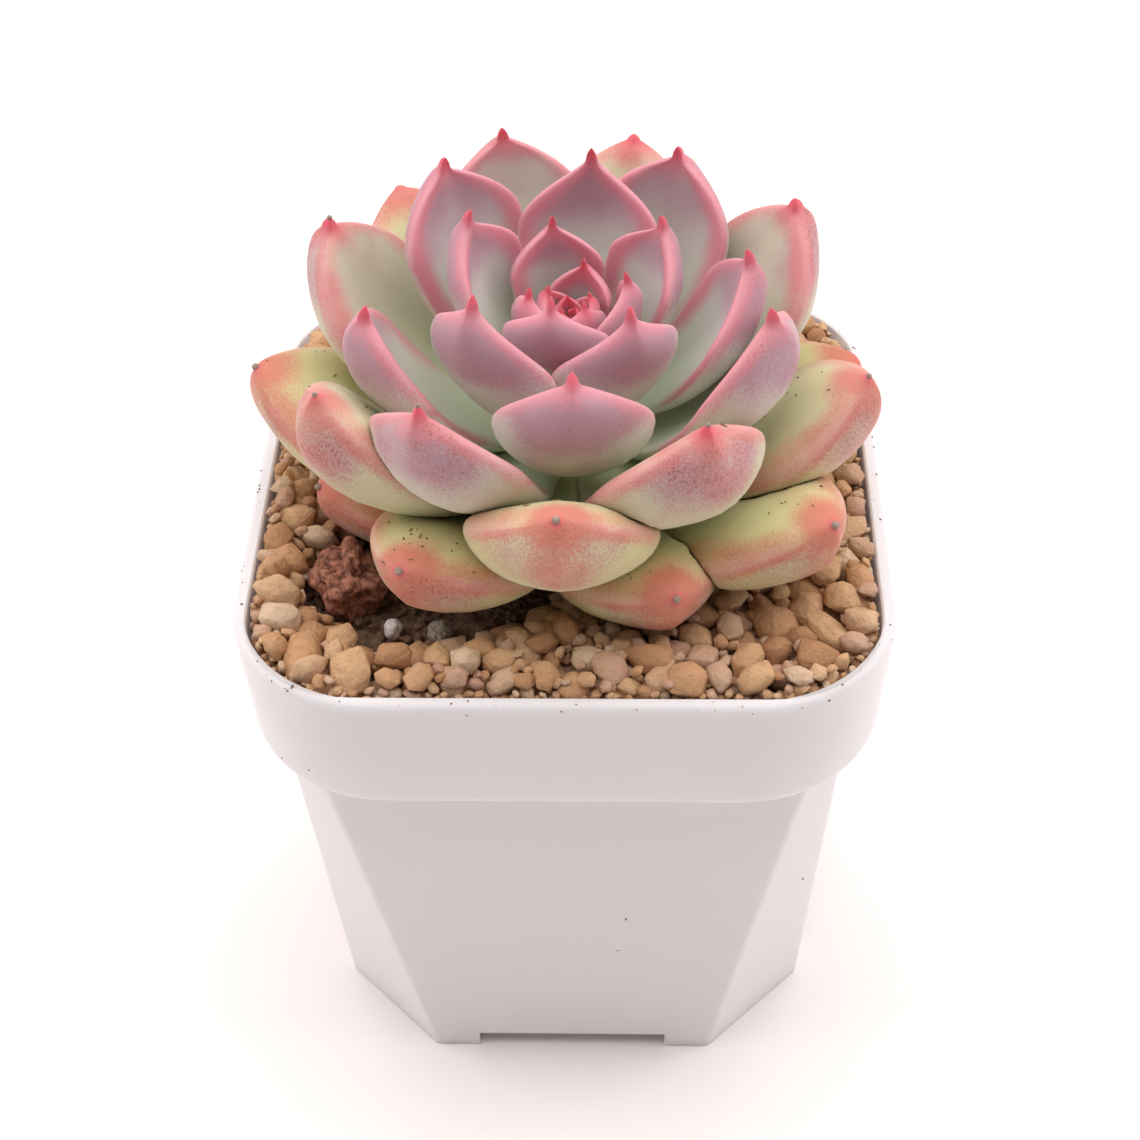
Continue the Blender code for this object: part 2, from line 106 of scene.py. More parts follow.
def finish_piece(name, bm, slot, *nodes, materials=(), smooth=math.radians(40)):
    """Makes the object of a finished bmesh, which rides on the only body and stands for the CAD nodes."""
    mesh = bpy.data.meshes.new(name)
    bm.to_mesh(mesh)
    bm.free()
    mesh.shade_smooth()
    mesh.set_sharp_from_angle(angle=smooth)
    for material in materials:
        mesh.materials.append(material)
    piece = new_object(name, mesh)
    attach(piece, "root")
    if nodes:
        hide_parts(*nodes)
    return piece


def settle_modifiers(piece):
    """Turns the piece's modifiers into plain mesh."""
    evaluated = piece.evaluated_get(bpy.context.evaluated_depsgraph_get())
    mesh = bpy.data.meshes.new_from_object(evaluated)
    piece.modifiers.clear()
    piece.data = mesh


# %% [markdown]
# ## The camera
#
# The view looks down at 44 degrees on the front of the pot, from about 25 cm, with a short tele lens. A
# square frame with a 36 mm sensor and a 67 mm lens gives that narrow, calm perspective.

# %% Camera
CAMERA_PLACE = Vector((6.9, -178.3, 225.5)) * MM
CAMERA_TURN = math.radians(2.21)
CAMERA_ELEVATION = math.radians(43.73)
CAMERA_ROLL = math.radians(-1.34)
camera_data = bpy.data.cameras.new("studio_camera")
camera_data.lens = 66.98
camera_data.sensor_width = 36
camera_data.clip_start = 0.01
camera = new_object("studio_camera", camera_data)
camera.matrix_world = (
    Matrix.Translation(CAMERA_PLACE)
    @ Matrix.Rotation(CAMERA_TURN, 4, "Z")
    @ Matrix.Rotation(math.pi / 2 - CAMERA_ELEVATION, 4, "X")
    @ Matrix.Rotation(CAMERA_ROLL, 4, "Z")
)
bpy.context.scene.camera = camera
print("camera at", [round(c / MM) for c in CAMERA_PLACE], "mm")

# %% [markdown]
# ## The pot
#
# A nursery pot is injection-moulded in one shot: a tapering body with flat corner chamfers, and a deep collar
# with round corners that stiffens the rim. The sections change from a chamfered square to a rounded one, so
# each height gets its own ring. A ring starts as one square face whose corners are bevelled, and the rings
# are then bridged. That keeps the flat walls flat, which a subdivided box wouldn't.

# %% Pot sizes
pot_low, pot_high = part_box("pot")
POT_HEIGHT = pot_high.z
RIM_HALF = (pot_high.x - pot_low.x) / 2
RIM_CORNER = 15.7 * MM
LIP_ROUND = 1.2 * MM
COLLAR_FOOT = POT_HEIGHT - 15.8 * MM
COLLAR_TAPER = 0.7 * MM
BODY_HALF = RIM_HALF - 4.95 * MM
FOOT_HALF = RIM_HALF - 6.65 * MM
BODY_CHAMFER = 3.8 * MM
FOOT_CHAMFER = 11.55 * MM
EDGE_ROUND = 1.2 * MM
RIM_WALL = 1.7 * MM
MOUTH_CORNER = 12.2 * MM
WALL = 1.5 * MM
FLOOR = 1.6 * MM
MOUTH_EASE = 0.2 * MM  # a small chamfer on the mouth's inner edge
CHANNEL_HALF = 22.9 * MM / 2
CHANNEL_DEPTH = 2.6 * MM
HOLE_RADIUS = 3 * MM
HOLE_SPACING = 16 * MM
print("rim", round(2 * RIM_HALF / MM, 1), "mm, height", round(POT_HEIGHT / MM, 1), "mm")

# %% Rings of the pot
CORNER_SEGMENTS = 13  # as many points as two softened chamfer corners of 6 segments


def cut_corners(bm, verts, offset, segments):
    """Bevels the corners of a lone face and returns its new corners."""
    made = bmesh.ops.bevel(bm, geom=verts, offset=offset, segments=segments, affect="VERTICES",
                           profile=0.5, material=-1, offset_type="OFFSET")
    return made["verts"]


def square_face(bm, half, z):
    made = bmesh.ops.create_grid(bm, x_segments=1, y_segments=1, size=half)
    bmesh.ops.translate(bm, vec=(0, 0, z), verts=made["verts"])
    return made["verts"]


def outline_of(bm, corners, keep_face=False):
    """The edges round the lone face that these corners belong to."""
    face = corners[0].link_faces[0]
    edges = list(face.edges)
    if not keep_face:
        bmesh.ops.delete(bm, geom=[face], context="FACES_ONLY")
    return edges


def rounded_ring(bm, half, corner, z, keep_face=False):
    corners = cut_corners(bm, square_face(bm, half, z), corner, CORNER_SEGMENTS)
    return outline_of(bm, corners, keep_face)


def chamfered_ring(bm, half, leg, z, inset=0.0, keep_face=False):
    """A square with its corners cut off by this leg, moved in by inset, with every corner softened."""
    leg -= (2 - math.sqrt(2)) * inset
    corners = cut_corners(bm, square_face(bm, half - inset, z), leg, 1)
    corners = cut_corners(bm, corners, EDGE_ROUND * math.tan(math.pi / 8), CORNER_SEGMENTS // 2)
    return outline_of(bm, corners, keep_face)


def bridge(bm, rings):
    """Skins neighbouring rings."""
    for low, high in zip(rings, rings[1:]):
        bmesh.ops.bridge_loops(bm, edges=low + high)


def cross_prism(width, length, low, high):
    """Two crossing bars as one closed bmesh: a thin square whose four sides are drawn out."""
    bm = bmesh.new()
    bmesh.ops.create_cube(bm, size=width)
    sides = [f for f in bm.faces if abs(f.normal.z) < 0.5]
    for face in sides:
        made = bmesh.ops.extrude_discrete_faces(bm, faces=[face])
        out = made["faces"][0]
        bmesh.ops.translate(bm, vec=out.normal * (length - width) / 2, verts=out.verts)
    for vert in bm.verts:
        vert.co.z = high if vert.co.z > 0 else low
    return bm


# %% Mould the pot
pot_mesh = bmesh.new()
lip_arc = [math.radians(a) for a in (0, 30, 60, 90)]
outside = [
    chamfered_ring(pot_mesh, FOOT_HALF, FOOT_CHAMFER, 0, keep_face=True),
    chamfered_ring(pot_mesh, BODY_HALF, BODY_CHAMFER, COLLAR_FOOT),
]
for angle in reversed(lip_arc):
    inset = COLLAR_TAPER + LIP_ROUND * (1 - math.cos(angle))
    outside.append(rounded_ring(pot_mesh, RIM_HALF - inset, RIM_CORNER - inset + COLLAR_TAPER,
                                COLLAR_FOOT + LIP_ROUND * (1 - math.sin(angle))))
for angle in lip_arc:
    inset = LIP_ROUND * (1 - math.cos(angle))
    outside.append(rounded_ring(pot_mesh, RIM_HALF - inset, RIM_CORNER - inset,
                                POT_HEIGHT - LIP_ROUND * (1 - math.sin(angle))))
ledge = COLLAR_FOOT + WALL
inside = [
    rounded_ring(pot_mesh, RIM_HALF - RIM_WALL + MOUTH_EASE, MOUTH_CORNER + MOUTH_EASE, POT_HEIGHT),
    rounded_ring(pot_mesh, RIM_HALF - RIM_WALL, MOUTH_CORNER, POT_HEIGHT - 1.25 * MOUTH_EASE),
    rounded_ring(pot_mesh, RIM_HALF - RIM_WALL - COLLAR_TAPER, MOUTH_CORNER, ledge),
    chamfered_ring(pot_mesh, BODY_HALF, BODY_CHAMFER, ledge, WALL),
    chamfered_ring(pot_mesh, FOOT_HALF, FOOT_CHAMFER, FLOOR, WALL, keep_face=True),
]
bridge(pot_mesh, outside + inside)
bmesh.ops.recalc_face_normals(pot_mesh, faces=pot_mesh.faces)
print("pot shell:", len(pot_mesh.faces), "faces, open edges:", sum(e.is_boundary for e in pot_mesh.edges))

# %% Mould the foot and drill the drain holes
POT_WHITE = "#E6E3E5"


def make_plastic():
    """White injection-moulded polypropylene: a soft satin gloss, and a little light passes into the wall."""
    plastic, shader = start_material("white_polypropylene_injection_moulded")
    at = add_node(plastic, "ShaderNodeTexCoord").outputs["Object"]
    # The mould's fine grain is half a millimetre across and 0.02 mm deep, so it only breaks up highlights.
    grain = add_node(plastic, "ShaderNodeTexNoise", {"Vector": at, "Scale": 2 / MM, "Detail": 2.0})
    bump = add_node(plastic, "ShaderNodeBump", {"Height": grain.outputs["Fac"], "Strength": 0.06,
                                               "Distance": 0.02 * MM})
    set_inputs(shader, {"Normal": bump.outputs["Normal"], "Base Color": linear(POT_WHITE), "Roughness": 0.34,
                        "IOR": 1.49, "Subsurface Weight": 0.45, "Subsurface Radius": (1.0, 0.9, 0.9),
                        "Subsurface Scale": 3.0 * MM})
    return plastic


def cut(piece, operation, tool):
    """Joins the tool's shape to the piece, or takes it away."""
    mesh = bpy.data.meshes.new("tool")
    bmesh.ops.recalc_face_normals(tool, faces=tool.faces)
    tool.to_mesh(mesh)
    tool.free()
    helper = new_object("tool", mesh)
    modifier = piece.modifiers.new(operation.lower(), "BOOLEAN")
    modifier.operation = operation
    modifier.object = helper
    settle_modifiers(piece)
    bpy.data.objects.remove(helper)


rib_top = CHANNEL_DEPTH + WALL
pot = finish_piece("moulded_pot", pot_mesh, "pot", "pot", materials=[make_plastic()])
cut(pot, "UNION", cross_prism(2 * (CHANNEL_HALF + WALL), 2 * FOOT_HALF - WALL, FLOOR / 2, rib_top))
cut(pot, "DIFFERENCE", cross_prism(2 * CHANNEL_HALF, 3 * FOOT_HALF, -CHANNEL_DEPTH, CHANNEL_DEPTH))
drills = bmesh.new()
for x, y in ((0, 0), (1, 0), (0, 1), (-1, 0), (0, -1)):
    place = Matrix.Translation(Vector((x * HOLE_SPACING, y * HOLE_SPACING, rib_top)))
    bmesh.ops.create_cone(drills, cap_ends=True, segments=32, radius1=HOLE_RADIUS, radius2=HOLE_RADIUS,
                          depth=4 * WALL, matrix=place)
cut(pot, "DIFFERENCE", drills)
pot.data.set_sharp_from_angle(angle=math.radians(35))  # the cuts made new edges
print("pot:", len(pot.data.polygons), "faces")

# %% [markdown]
# ## The leaves
#
# An echeveria makes its leaves one by one, each 137.5 degrees round from the last. The youngest stand in the
# heart and the oldest lie outside. Growth curves over the leaf's number give its length, width, thickness and
# posture, and a short table leans the few leaves that their neighbours push aside. Each leaf is a sphere
# whose rings are drawn out along a bent middle line and wrapped round the plant's axis, so every skin is
# closed. Neighbouring skins then give way to each other until a thin gap is left.

# %% Growth curves
CENTRE = Vector((0.6 * MM, 1.9 * MM, 0))
SOIL_TOP = 64 * MM
LEAF_COUNT = 44
DIVERGENCE = math.radians(137.508)
FIRST_LEAF = math.radians(49)

# (leaf number, value), from the innermost leaf outwards, in millimetres or degrees
REACH = ((0, 0.8), (3, 1.4), (7, 3.0), (12, 8.4), (18, 17.2), (25, 25.0), (31, 31.0), (36, 34.0), (43, 29.0))
RISE = ((0, 27.0), (3, 28.0), (7, 30.0), (12, 34.8), (18, 36.1), (25, 34.4), (31, 27.8), (36, 18.5), (43, 11.5))
BASE_RADIUS = ((0, 0.5), (5, 1.6), (12, 2.5), (20, 3.4), (30, 4.5), (43, 5.6))
BASE_RISE = ((0, 23.5), (5, 20.5), (12, 16.5), (20, 12.8), (30, 9.4), (43, 6.2))
HALF_WIDTH = ((0, 0.9), (4, 2.2), (7, 3.6), (12, 6.1), (16, 8.1), (20, 8.4), (28, 9.7), (33, 10.2), (43, 9.5))
HALF_THICK = ((0, 0.4), (7, 1.0), (12, 1.7), (20, 2.7), (28, 3.5), (33, 4.0), (43, 3.9))
BEND = ((0, 10), (12, 50), (20, 84), (28, 86), (33, 68), (38, 42), (43, 36))
CUSP = ((0, 0.70), (16, 0.68), (20, 0.45), (28, 0.44), (36, 0.43), (43, 0.43))
SPIKE = ((0, 0.3), (7, 0.9), (12, 1.6), (24, 1.7), (30, 0.8), (36, 0.2), (43, 0.2))

# Leaves that their neighbours push off the rule: turn in degrees, then reach and rise in millimetres
LEAN = {
    7: (8, 0, 0), 9: (9, 0, 0), 11: (-16, 0, 0), 13: (-8, 1, 0), 14: (-13, -0.5, 1.5),
    15: (-11, -0.5, -0.5), 16: (-7, 1, 1), 17: (4, -1.5, 1), 18: (-6, 1, -1), 19: (-5, 0, 1.5),
    20: (-7, 1, -1), 22: (8, 0, -2), 25: (-7, 2.5, -1), 31: (-7, 1, -3), 33: (2, -1.2, 1.6),
    36: (0, 1.5, -1), 37: (0, -2, 0), 38: (5, -0.5, -0.5), 41: (4, 0.5, -0.5),
}
DRY_TIPS = (25, 27, 28, 30, 31, 33, 35, 36, 38, 41, 43)


def along(curve, n):
    """The growth curve at leaf n: a smooth line through the curve's points."""
    k = max(i for i in range(len(curve) - 1) if curve[i][0] <= n)
    (x1, y1), (x2, y2) = curve[k], curve[k + 1]

    def slope(i):
        low, high = curve[max(i - 1, 0)], curve[min(i + 1, len(curve) - 1)]
        return (high[1] - low[1]) / (high[0] - low[0])

    span = x2 - x1
    t = (n - x1) / span
    start, end = slope(k) * span, slope(k + 1) * span
    return (y1 * (2 * t ** 3 - 3 * t ** 2 + 1) + start * (t ** 3 - 2 * t ** 2 + t)
            + y2 * (3 * t ** 2 - 2 * t ** 3) + end * (t ** 3 - t ** 2))


def step(low, high, value):
    """A smooth step from 0 at low to 1 at high."""
    t = max(0.0, min(1.0, (value - low) / (high - low)))
    return t * t * (3 - 2 * t)


# %% The leaf's shape
UPPER_RIM = 0.45  # how far the rounded margin stands over the middle surface, as a share of the half thickness
DISH = 0.26  # how far the upper face sinks between its margins
UPPER_OLD = 0.95  # an old leaf's upper face has filled out
FILLS_OUT = (22, 31)  # over these leaves
UNDERSIDE = 1.3
KEELED = (0.55, 0.9)  # over this share of its length the underside draws up into a keel
RIPPLE = 0.12
BASE_SHARE = 0.3  # how wide and thick the base is, against the widest and the thickest place
FULLEST = 0.7  # where along the leaf it is thickest
TIP_STOUTNESS = 1.8
SPIKE_WIDTH = 0.1  # the spine tip's half width, as a share of the leaf's
LEAF_SIDES = 36
LEAF_RINGS = 34
TIP_CROWDING = 1.7  # brings the rings closer together towards the tip


class Leaf:
    """One leaf's place and size, from its number in the spiral."""

    def __init__(self, n):
        turn, reach, rise = LEAN.get(n, (0, 0, 0))
        self.n = n
        self.turn = FIRST_LEAF + DIVERGENCE * n + math.radians(turn)
        self.half_width = along(HALF_WIDTH, n) * MM
        self.half_thick = along(HALF_THICK, n) * MM
        self.cusp = along(CUSP, n)
        self.spike = along(SPIKE, n) * MM
        base = Vector((along(BASE_RADIUS, n), along(BASE_RISE, n))) * MM
        tip = Vector((along(REACH, n) + reach, along(RISE, n) + rise)) * MM
        chord = tip - base
        self.length = chord.length
        pitch = math.atan2(chord.y, chord.x)
        bend = math.radians(along(BEND, n)) / 2
        third = chord.length / 3
        low = base + third * Vector((math.cos(pitch - bend), math.sin(pitch - bend)))
        high = tip - third * Vector((math.cos(pitch + bend), math.sin(pitch + bend)))
        self.control = (base, low, high, tip)
        self.widest = 1 - min(0.45, 1.07 * self.half_width / chord.length)

    def middle(self, s):
        """The middle line at s from 0, the base, to 1, the tip: (radius, rise) and its direction."""
        a, b, c, d = self.control
        t = 1 - s
        point = a * t ** 3 + b * 3 * t * t * s + c * 3 * t * s * s + d * s ** 3
        way = (b - a) * t * t + (c - b) * 2 * t * s + (d - c) * s * s
        return point, way.normalized()

    def half_width_at(self, s):
        if s > self.widest:
            left = (1 - s) * self.length
            body = max(0.0, (left - self.spike) / ((1 - self.widest) * self.length - self.spike))
            blade = ((1 - math.cos(math.pi * body)) / 2) ** self.cusp
            spike = SPIKE_WIDTH * (1 - math.exp(-2 * left / self.spike)) * (1 - body)
            return self.half_width * (blade + spike)
        swelling = math.sin(math.pi / 2 * s / self.widest) ** 1.7
        return self.half_width * (BASE_SHARE + (1 - BASE_SHARE) * swelling)

    def half_thick_at(self, s):
        if s > FULLEST:
            thick = self.half_thick * max(0.0, 1 - ((s - FULLEST) / (1 - FULLEST)) ** 2.4) ** 0.6
        else:
            thick = self.half_thick * (BASE_SHARE + (1 - BASE_SHARE) * (s / FULLEST) ** 1.2)
        # Near its point a leaf is about as thick as it is wide.
        return thick * (1 - math.exp(-TIP_STOUTNESS * self.half_width_at(s) / max(thick, 0.01 * MM)))

    def spine(self, s):
        (radius, rise), _ = self.middle(s)
        return CENTRE + Vector((radius * math.cos(self.turn), radius * math.sin(self.turn), SOIL_TOP + rise))

    def place(self, s, angle):
        """The point on the skin at s, at this angle round the section. Angle 0 and pi are the margins."""
        (radius, rise), way = self.middle(s)
        across = math.cos(angle)
        side = self.half_width_at(s) * across
        round_off = math.sqrt(max(0.0, 1 - across * across))
        if math.sin(angle) > 0:
            young = UPPER_RIM * math.sqrt(1 - across ** 4) - DISH * round_off ** 2
            height = young + (UPPER_OLD * round_off - young) * step(*FILLS_OUT, self.n)
        else:
            keeled = 0.35 * round_off + 0.65 * (1 - abs(across) ** 1.3)
            height = -UNDERSIDE * (round_off ** 1.1 + (keeled - round_off ** 1.1) * step(*KEELED, s))
        up = self.half_thick_at(s) * height
        ripple = noise.noise(Vector((s * 3.1, across * 1.7, self.n * 5.3)))
        up += RIPPLE * ripple * self.half_thick_at(s)
        turn = self.turn + side / max(radius, 0.9 * self.half_width)
        radius -= way.y * up
        rise += way.x * up
        return CENTRE + Vector((radius * math.cos(turn), radius * math.sin(turn), SOIL_TOP + rise))


def grow_leaf(n):
    """The skin of leaf n before it meets its neighbours, with what its colours depend on at each point."""
    leaf = Leaf(n)
    leaf.bm = bmesh.new()
    bmesh.ops.create_uvsphere(leaf.bm, u_segments=LEAF_SIDES, v_segments=LEAF_RINGS, radius=1)
    leaf.roots, leaf.traits = [], []
    tip = leaf.place(1, 0)
    for vert in leaf.bm.verts:
        share = 1 - math.acos(max(-1.0, min(1.0, vert.co.z))) / math.pi
        s = 1 - (1 - share) ** TIP_CROWDING
        angle = math.atan2(vert.co.y, vert.co.x)
        across = math.cos(angle) if 0 < share < 1 else 0
        vert.co = leaf.place(s, angle)
        leaf.roots.append(leaf.spine(s))
        leaf.traits.append({
            "along": s, "across": across, "upper": math.sin(angle), "age": n / (LEAF_COUNT - 1),
            "to_edge": (1 - abs(across)) * leaf.half_width_at(s) / MM, "to_tip": (vert.co - tip).length / MM,
        })
    bmesh.ops.recalc_face_normals(leaf.bm, faces=leaf.bm.faces)
    leaf.points = [vert.co.copy() for vert in leaf.bm.verts]
    leaf.faces = [tuple(vert.index for vert in face.verts) for face in leaf.bm.faces]
    return leaf


# %% Neighbours make room for each other
GAP = 0.12 * MM
ROOM_ROUNDS = 9
NEAR_SKIN = 6 * MM  # a skin further away than this can't be in the way
GIVE = 0.7  # how much of what it lacks a point gives way in a round
MOST_GIVE = 0.35  # and at most this share of its way to the middle line
LOWEST_LEAF = 68.0 * MM
RAY = Vector((0.36, 0.48, 0.8))


def under_skin(point, tree):
    """Whether the point is inside the closed skin: a ray from it then leaves an odd number of times."""
    crossings = 0
    near = tree.ray_cast(point, RAY)[0]
    while near is not None:
        crossings += 1
        near = tree.ray_cast(near + RAY * 0.001 * MM, RAY)[0]
    return crossings % 2 == 1


def lack_at(point, skins):
    """How much the point lacks to be the gap away from every skin near it."""
    worst = 0.0
    for tree in skins:
        near, normal, _, distance = tree.find_nearest(point, NEAR_SKIN)
        if near is None:
            continue
        if (point - near).dot(normal) < 0 and under_skin(point, tree):
            distance = -distance
        worst = max(worst, GAP - distance)
    return worst


def bounds_of(points):
    low = [min(p[i] for p in points) - GAP for i in range(3)]
    high = [max(p[i] for p in points) + GAP for i in range(3)]
    return low, high


def meet(a, b):
    return all(a[0][i] < b[1][i] and b[0][i] < a[1][i] for i in range(3))


leaves = [grow_leaf(n) for n in range(LEAF_COUNT)]
for _ in range(ROOM_ROUNDS):
    skins = [(BVHTree.FromPolygons(leaf.points, leaf.faces), bounds_of(leaf.points)) for leaf in leaves]
    for n, leaf in enumerate(leaves):
        near = [tree for k, (tree, box) in enumerate(skins) if k != n and meet(box, skins[n][1])]
        for point, root in zip(leaf.points, leaf.roots):
            lack = lack_at(point, near)
            if lack > 0:
                inward = root - point
                point += inward.normalized() * min(MOST_GIVE * inward.length, GIVE * lack)
            point.z = max(point.z, LOWEST_LEAF)
print("leaves:", len(leaves), "with", sum(len(leaf.points) for leaf in leaves), "points")

# %% [markdown]
# ## What the leaf skin looks like
#
# The flesh is a pale grey, greener towards the base, that turns yellow-green with age. Sun brings out red: a
# rose blush along the margins of the young leaves and a salmon one over the outer half of the old ones,
# breaking up into dots where it fades. The spine tips are crimson. A thin bloom of wax dulls the skin.

# %% Leaf colours
FLESH = ("#CBC4C4", "#D2CE98")  # young, old
FLESH_BASE = ("#D6E2CA", "#E4E7B8")
BLUSH = ("#D88C9A", "#CE7F69")
MAUVE = "#B9929F"
TIP_RED = "#E0566A"
# A painted highlight: a thin pale pink line along the leaf margins.
PAINTED_RIM_HIGHLIGHT = "#F2BFC2"
# Dark red spots on the older undersides: partly rub and rust marks, partly painted shade.
RUB_AND_SHADE = "#A25A48"
RUST_AND_SHADE = "#9E5E4C"


def make_leaf_skin():
    """Waxy succulent skin over watery flesh: matt, softly lit from within, pink where the sun gets at it."""
    skin, shader = start_material("waxy_leaf_skin_with_sun_blush")
    at = add_node(skin, "ShaderNodeTexCoord").outputs["Object"]
    trait = {}
    for name in ("age", "blush", "base", "mauve", "tip", "rim", "dots", "grain"):
        trait[name] = add_node(skin, "ShaderNodeAttribute", attribute_name=name).outputs["Fac"]
    # Soft cloudy patches 6 mm across, and pigment cells of a quarter of a millimetre that dither the edges.
    patches = add_node(skin, "ShaderNodeTexNoise", {"Vector": at, "Scale": 1 / (6 * MM), "Detail": 2.0})
    cells = add_node(skin, "ShaderNodeTexNoise", {"Vector": at, "Scale": 1 / (0.24 * MM), "Detail": 2.0,
                                                 "Roughness": 0.6})
    wander = add_node(skin, "ShaderNodeMath", {0: patches.outputs["Fac"], 1: 0.8, 2: -0.4},
                      operation="MULTIPLY_ADD").outputs[0]
    dither = add_node(skin, "ShaderNodeMath", {0: cells.outputs["Fac"], 1: 1.3, 2: -0.65},
                      operation="MULTIPLY_ADD").outputs[0]
    dither = add_node(skin, "ShaderNodeMath", {0: dither, 1: trait["grain"]}, operation="MULTIPLY").outputs[0]
    # The dither only works between full pigment and none, so both stay clean.
    both = add_node(skin, "ShaderNodeMath", {0: wander, 1: dither}, operation="ADD").outputs[0]
    masks = []
    for name in ("blush", "mauve"):
        spread = add_node(skin, "ShaderNodeMath", {0: trait[name], 1: both}, operation="ADD").outputs[0]
        mask = add_node(skin, "ShaderNodeMapRange", {"Value": spread, "From Min": 0.1, "From Max": 0.9},
                        interpolation_type="SMOOTHSTEP")
        masks.append(mask.outputs["Result"])
    blush, mauve = masks
    colours = []
    for young, old in (FLESH, FLESH_BASE, BLUSH):
        mix = add_node(skin, "ShaderNodeMix", {"Factor": trait["age"], 6: linear(young), 7: linear(old)},
                       data_type="RGBA")
        colours.append(mix.outputs[2])
    # The older fronts are darker and redder in places: voronoi spots 0.3 mm across, and freckles of 0.2 mm.
    # They are partly rub and rust marks, partly painted shade on undersides that face away from the light.
    spots = add_node(skin, "ShaderNodeTexVoronoi", {"Vector": at, "Scale": 1 / (0.55 * MM)})
    rubbed_and_shaded = add_node(skin, "ShaderNodeMapRange", {"Value": spots.outputs["Distance"], "From Min": 0.34,
                                                  "From Max": 0.22})
    where = add_node(skin, "ShaderNodeMapRange", {"Value": patches.outputs["Fac"], "From Min": 0.4,
                                                 "From Max": 0.62, "To Max": 0.6})
    dots = add_node(skin, "ShaderNodeMath", {0: where.outputs["Result"], 1: trait["dots"]},
                    operation="MULTIPLY").outputs[0]
    rubbed_and_shaded = add_node(skin, "ShaderNodeMath", {0: rubbed_and_shaded.outputs["Result"], 1: dots},
                      operation="MULTIPLY").outputs[0]
    freckles_and_shade = add_node(skin, "ShaderNodeTexNoise", {"Vector": at, "Scale": 1 / (0.2 * MM), "Detail": 1.0})
    freckles_and_shade = add_node(skin, "ShaderNodeMapRange", {"Value": freckles_and_shade.outputs["Fac"], "From Min": 0.46,
                                                    "From Max": 0.66})
    freckles_and_shade = add_node(skin, "ShaderNodeMath", {0: freckles_and_shade.outputs["Result"], 1: dots},
                        operation="MULTIPLY").outputs[0]
    # Layers over the flesh: pigments, the spots with their painted shade, the painted rim highlight, the red
    # tip.
    colour = colours[0]
    for share, over in ((trait["base"], colours[1]), (mauve, linear(MAUVE)), (blush, colours[2]),
                        (freckles_and_shade, linear(RUST_AND_SHADE)), (rubbed_and_shaded, linear(RUB_AND_SHADE)), (trait["rim"], linear(PAINTED_RIM_HIGHLIGHT)),
                        (trait["tip"], linear(TIP_RED))):
        mix = add_node(skin, "ShaderNodeMix", {"Factor": share, 6: colour, 7: over}, data_type="RGBA")
        colour = mix.outputs[2]
    fine = add_node(skin, "ShaderNodeTexNoise", {"Vector": at, "Scale": 1 / (0.35 * MM), "Detail": 3.0})
    bump = add_node(skin, "ShaderNodeBump", {"Height": fine.outputs["Fac"], "Strength": 0.25,
                                            "Distance": 0.06 * MM})
    set_inputs(shader, {"Base Color": colour, "Normal": bump.outputs["Normal"], "Roughness": 0.52,
                        "Specular IOR Level": 0.4, "IOR": 1.42, "Subsurface Weight": 0.22,
                        "Subsurface Radius": (1.0, 0.55, 0.4), "Subsurface Scale": 1.8 * MM,
                        "Sheen Weight": 0.12, "Sheen Roughness": 0.5})
    return skin


def make_dry_tip():
    """A dried spine tip: corky and dull, dark brown with a pale scar."""
    cork, shader = start_material("dried_leaf_tip")
    at = add_node(cork, "ShaderNodeTexCoord").outputs["Object"]
    mottle = add_node(cork, "ShaderNodeTexNoise", {"Vector": at, "Scale": 1 / (0.24 * MM), "Detail": 2.0})
    mix = add_node(cork, "ShaderNodeMix", {"Factor": mottle.outputs["Fac"], 6: linear("#4E3430"),
                                          7: linear("#CDB4A6")}, data_type="RGBA")
    set_inputs(shader, {"Base Color": mix.outputs[2], "Roughness": 0.8})
    return cork


def tint(trait, n):
    """Where pigment, painted highlight and painted shade sit, each 0 to 1. Edge and tip distances are in mm."""
    s, age, upper = trait["along"], trait["age"], trait["upper"]
    edge, tip = trait["to_edge"], trait["to_tip"]
    old = step(0.4, 0.8, age)
    margin = (1 - step(0.1, 4.6, edge)) * step(0.2, 0.55, s)
    point = 1 - step(0.5, 4.0 + 5 * age, tip)
    if upper >= 0:
        blush = max((0.92 - 0.34 * old) * margin, point, 0.2 * old * step(0.5, 0.9, s))
        mauve = 0.9 * (1 - step(0.35, 0.75, age)) * step(0.55, 0.85, s)
        base = 1 - step(0.15, 0.84, s)
        grain = 0.5 * old
    else:
        ridge = math.exp(-(trait["across"] / 0.55) ** 2)
        low = 0.35 + 0.65 * step(0.6, 0.9, s)
        blush = max(0.8 * low * (1 - step(0.1, 1.8, edge)) * step(0.4, 0.7, s), point,
                    old * (0.3 + 0.5 * ridge) * step(0.6, 0.92, s))
        mauve = (1 - 0.5 * old) * (1 - step(6.5, 12.5, tip))
        base = 1 - step(0.3, 0.86, s)
        grain = 0.8
    red, red_reach = (0.85, 2.6) if n < 30 else (0.45, 1.2)
    return {
        "age": step(0.42, 0.85, age), "blush": blush, "mauve": mauve, "grain": grain, "base": base,
        "tip": red * (1 - step(0.4, red_reach, tip)),
        # rim: a painted highlight along the margin
        "rim": 0.2 * (1 - step(0.05, 0.4, edge)) * step(0.3, 0.6, s) * (1 - step(0.9, 0.97, s)),
        # dots: where the spots go, partly rub and rust marks and partly painted shade, mostly on the undersides
        "dots": step(0.3, 0.6, age) * (1 - step(6, 12, tip)) * (1.0 if upper < 0 else 0.2),
    }


